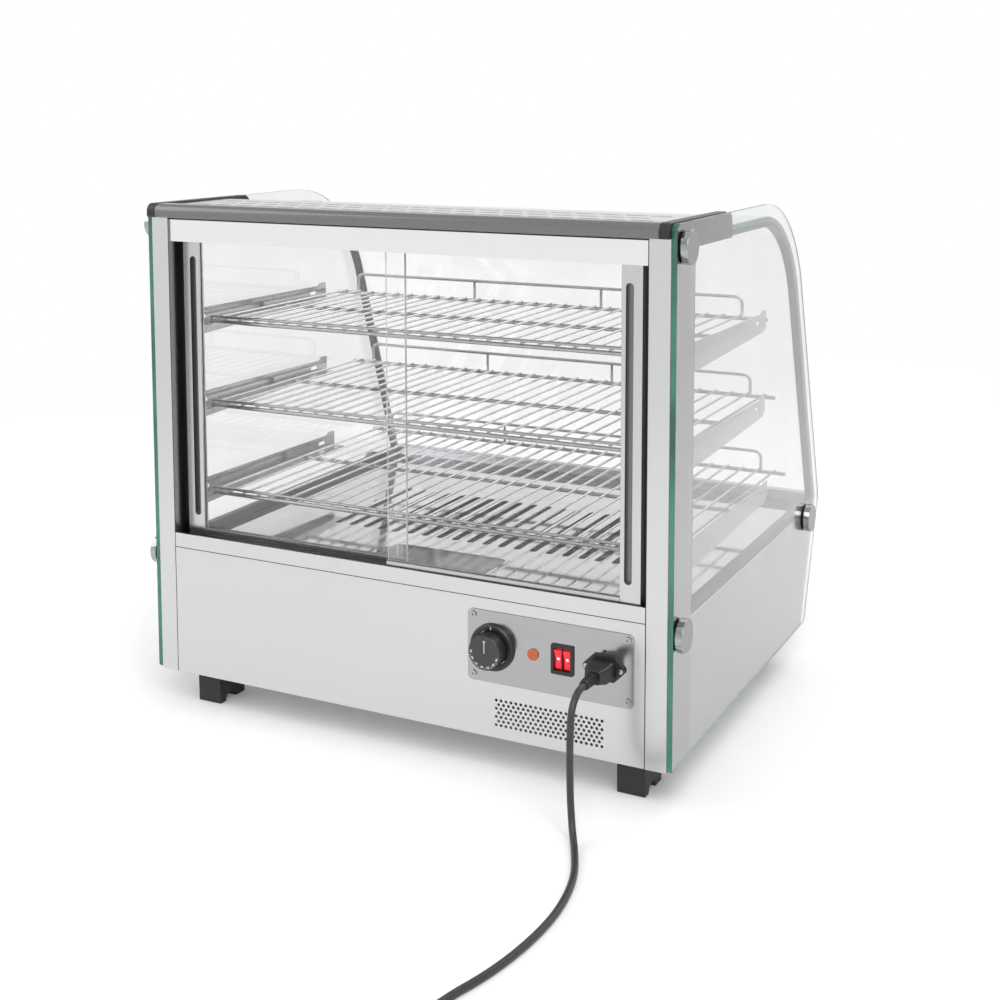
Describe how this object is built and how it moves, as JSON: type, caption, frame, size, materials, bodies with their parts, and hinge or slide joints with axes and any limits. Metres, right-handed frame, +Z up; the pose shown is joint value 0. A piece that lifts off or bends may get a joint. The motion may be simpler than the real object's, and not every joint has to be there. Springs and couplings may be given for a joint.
{
  "type": "pastry display cabinet",
  "caption": "Heated counter-top pastry display cabinet with a curved customer glass, wire shelves, sliding rear doors and a control plate.",
  "frame": {"origin": "centre of the cabinet's footprint on the table, without the supply cord", "axes": "+Z up, -Y towards the customer and the curved glass, +Y towards the operator, the doors and the controls, +X to the operator's left"},
  "size_m": [0.7332, 1.1245, 0.6266],
  "materials": {
    "stainless": "fine brushed stainless sheet",
    "polished_deck": "mirror-polished stainless",
    "frame_aluminium": "satin anodised",
    "bull_nose_coat": "satin dark grey",
    "black_plastic": "moulded black plastic",
    "tempered_glass": "clear tempered",
    "chrome": "bright chrome",
    "bracket_steel": "stainless sheet",
    "element": "heat-dulled sheath",
    "lamp_lens": "translucent orange",
    "rocker_red": "translucent red",
    "cord_rubber": "black flexible sheath"
  },
  "bodies": {
    "cabinet": {"base_pan": "stainless", "rear_panel": "stainless", "side_panel_left": "stainless", "side_panel_right": "stainless", "front_panel": "stainless", "rear_post_left": "stainless", "rear_post_right": "stainless", "top_plate": "stainless", "header": "stainless", "sill": "stainless", "water_tray": "stainless", "control_plate": "stainless", "deck": "polished_deck", "side_frame_left": "frame_aluminium", "side_frame_right": "frame_aluminium", "front_rail": "frame_aluminium", "bull_nose": "bull_nose_coat", "end_cap_left": "black_plastic", "end_cap_right": "black_plastic", "foot_rear_left": "black_plastic", "foot_rear_right": "black_plastic", "foot_front_left": "black_plastic", "foot_front_right": "black_plastic", "knob_bezel": "black_plastic", "thermostat_body": "black_plastic", "switch_housing": "black_plastic", "inlet": "black_plastic", "side_glass_left": "tempered_glass", "side_glass_right": "tempered_glass", "front_glass": "tempered_glass", "glass_knobs_left": "chrome", "glass_knobs_right": "chrome", "panel_screws": "chrome", "shelf_top": "chrome", "shelf_middle": "chrome", "shelf_bottom": "chrome", "bracket_top_left": "bracket_steel", "bracket_top_right": "bracket_steel", "bracket_middle_left": "bracket_steel", "bracket_middle_right": "bracket_steel", "bracket_bottom_left": "bracket_steel", "bracket_bottom_right": "bracket_steel", "heater_straps": "bracket_steel", "heating_element": "element", "pilot_lamp": "lamp_lens", "connector": "cord_rubber", "cord_tail": "cord_rubber", "cord_coil": "cord_rubber", "mains_plug": "cord_rubber"},
    "door_outer": {"door_outer_glass": "tempered_glass", "door_outer_handle": "frame_aluminium", "door_outer_rail": "frame_aluminium", "door_outer_rollers": "black_plastic"},
    "door_inner": {"door_inner_glass": "tempered_glass", "door_inner_handle": "frame_aluminium", "door_inner_rail": "frame_aluminium", "door_inner_rollers": "black_plastic"},
    "knob": {"thermostat_knob": "black_plastic"},
    "rocker_l": {"rocker_left": "rocker_red"},
    "rocker_r": {"rocker_right": "rocker_red"}
  },
  "joints": [
    {"name": "outer_door_slide", "type": "slide", "parent": "cabinet", "child": "door_outer", "axis": [1, 0, 0], "range_m": [0, 0.29]},
    {"name": "inner_door_slide", "type": "slide", "parent": "cabinet", "child": "door_inner", "axis": [-1, 0, 0], "range_m": [0, 0.29]},
    {"name": "thermostat_turn", "type": "hinge", "parent": "cabinet", "child": "knob", "pos_m": [-0.1297, 0.2773, 0.15], "axis": [0, -1, 0], "range_deg": [0, 270]},
    {"name": "rocker_left_tip", "type": "hinge", "parent": "cabinet", "child": "rocker_l", "pos_m": [-0.2089, 0.2743, 0.15], "axis": [1, 0, 0], "range_deg": [0, 18]},
    {"name": "rocker_right_tip", "type": "hinge", "parent": "cabinet", "child": "rocker_r", "pos_m": [-0.2193, 0.2743, 0.15], "axis": [1, 0, 0], "range_deg": [0, 18]}
  ]
}
